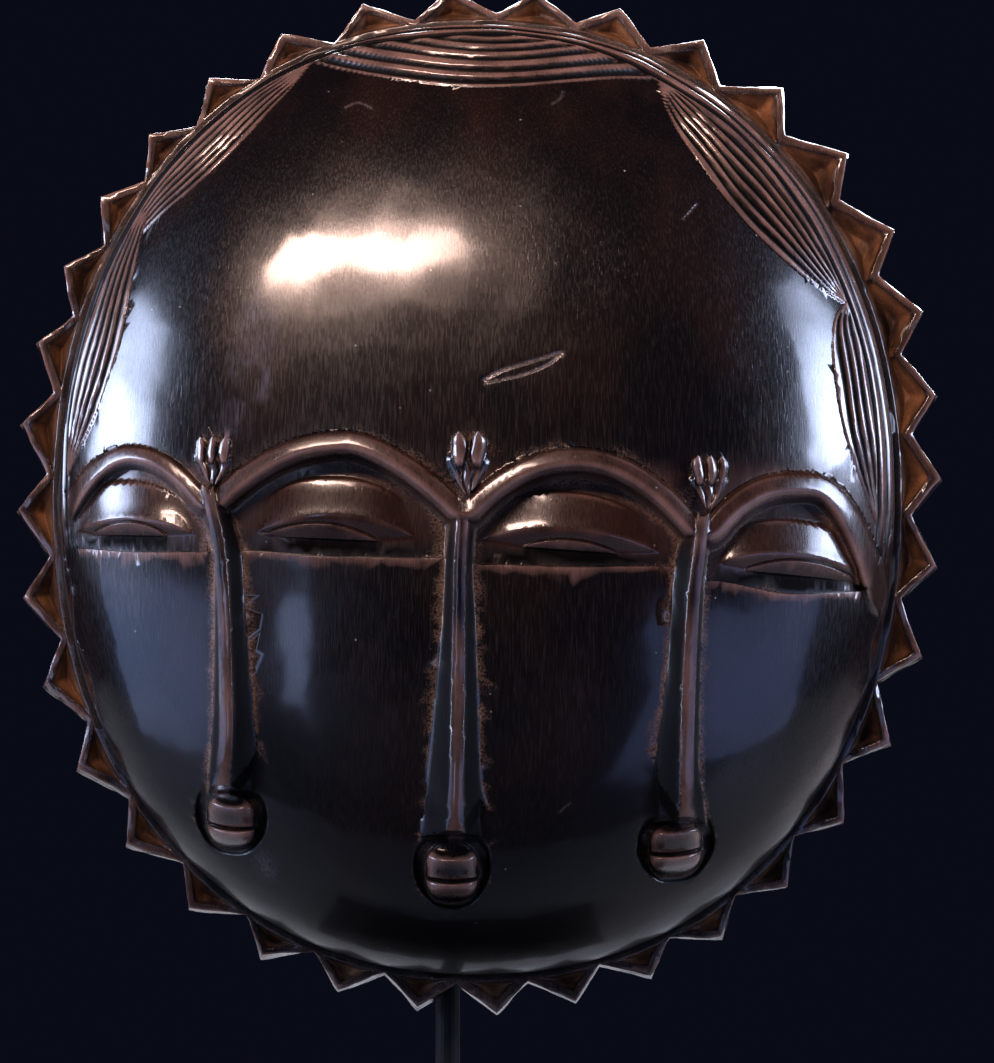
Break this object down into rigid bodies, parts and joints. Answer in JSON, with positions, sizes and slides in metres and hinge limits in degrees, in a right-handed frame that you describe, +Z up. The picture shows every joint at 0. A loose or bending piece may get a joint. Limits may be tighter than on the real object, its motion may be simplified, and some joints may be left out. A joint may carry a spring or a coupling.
{
  "type": "carved moon mask on a stand",
  "caption": "Round carved wooden moon mask with a toothed rim, closed eyes, long noses and small mouths, held upright on a steel rod with a flat foot.",
  "frame": {"origin": "middle of the underside of the stand's foot", "axes": "+Z up, the mask faces -Y, +X is to the right as one looks at the face"},
  "size_m": [0.3087, 0.12, 0.411],
  "materials": {
    "wood": "dark stained hardwood, oiled and hand polished to a gloss, with pale wear on the edges and ochre dirt in the cuts",
    "steel": "thin satin black paint"
  },
  "bodies": {
    "root": {"mask": "wood", "stand_rod": "steel", "stand_base": "steel"}
  },
  "joints": []
}
